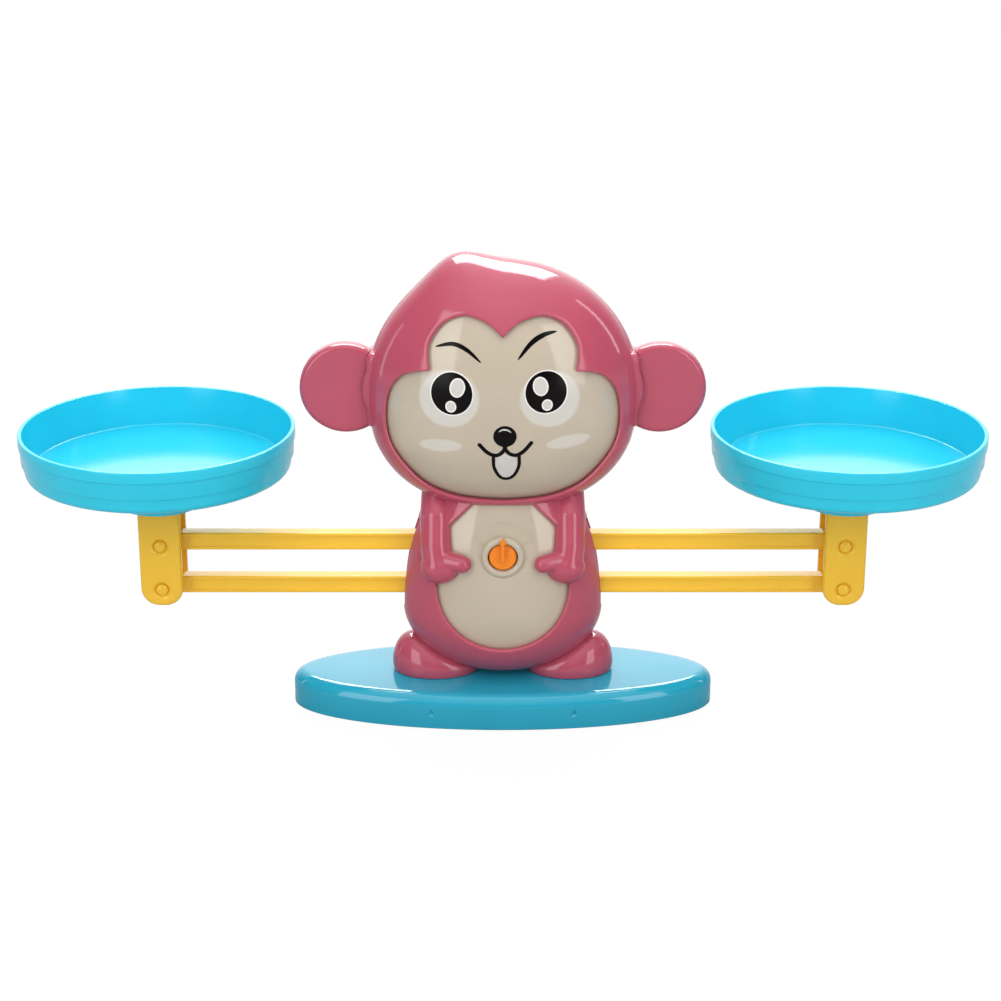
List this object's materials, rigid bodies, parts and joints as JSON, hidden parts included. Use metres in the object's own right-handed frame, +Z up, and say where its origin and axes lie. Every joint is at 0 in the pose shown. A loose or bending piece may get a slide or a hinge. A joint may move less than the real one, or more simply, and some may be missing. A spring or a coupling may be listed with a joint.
{
  "type": "number balance",
  "caption": "Toy monkey number balance: parallel beams pivoted in a moulded monkey on an oval base, with an upright hanger and a round pan at each end.",
  "frame": {"origin": "middle of the base's underside, on the table", "axes": "+X along the beams towards the right pan as seen from the face, -Y the side of the face, +Z up"},
  "size_m": [0.3356, 0.0954, 0.166],
  "materials": {
    "pink": "gloss",
    "beige": "gloss",
    "yellow": "gloss",
    "sky_blue": "gloss",
    "sea_blue": "gloss",
    "orange": "gloss",
    "steel": "satin"
  },
  "bodies": {
    "stand": {"base_plate": "sea_blue", "front_shell": "pink", "back_shell": "pink", "face_panel": "beige", "belly_panel": "beige", "left_ear": "pink", "right_ear": "pink", "upper_pivot_pin": "steel", "lower_pivot_pin": "steel", "shell_screw_1": "steel", "shell_screw_2": "steel", "shell_screw_3": "steel", "shell_screw_4": "steel", "base_screw_1": "steel", "base_screw_2": "steel"},
    "upper_arm": {"upper_beam": "yellow", "pointer_dial": "orange"},
    "lower_arm": {"lower_beam": "yellow"},
    "left_carrier": {"left_hanger": "yellow", "left_pan": "sky_blue", "left_upper_pin": "yellow", "left_lower_pin": "yellow"},
    "right_carrier": {"right_hanger": "yellow", "right_pan": "sky_blue", "right_upper_pin": "yellow", "right_lower_pin": "yellow"}
  },
  "joints": [
    {"name": "beam_tilt", "type": "hinge", "parent": "stand", "child": "upper_arm", "pos_m": [0, 0, 0.0621], "axis": [0, 1, 0], "range_deg": [-8, 8]},
    {"name": "lower_beam_tilt", "type": "hinge", "parent": "stand", "child": "lower_arm", "pos_m": [0, 0, 0.0458], "axis": [0, 1, 0], "range_deg": [-8, 8]},
    {"name": "left_hanger_pivot", "type": "hinge", "parent": "upper_arm", "child": "left_carrier", "pos_m": [-0.12, 0, 0.0621], "axis": [0, 1, 0], "range_deg": [-8, 8]},
    {"name": "right_hanger_pivot", "type": "hinge", "parent": "upper_arm", "child": "right_carrier", "pos_m": [0.12, 0, 0.0621], "axis": [0, 1, 0], "range_deg": [-8, 8]}
  ],
  "couplings": [
    {"joint": "lower_beam_tilt", "follows": "beam_tilt", "ratio": 1},
    {"joint": "left_hanger_pivot", "follows": "beam_tilt", "ratio": -1},
    {"joint": "right_hanger_pivot", "follows": "beam_tilt", "ratio": -1}
  ]
}
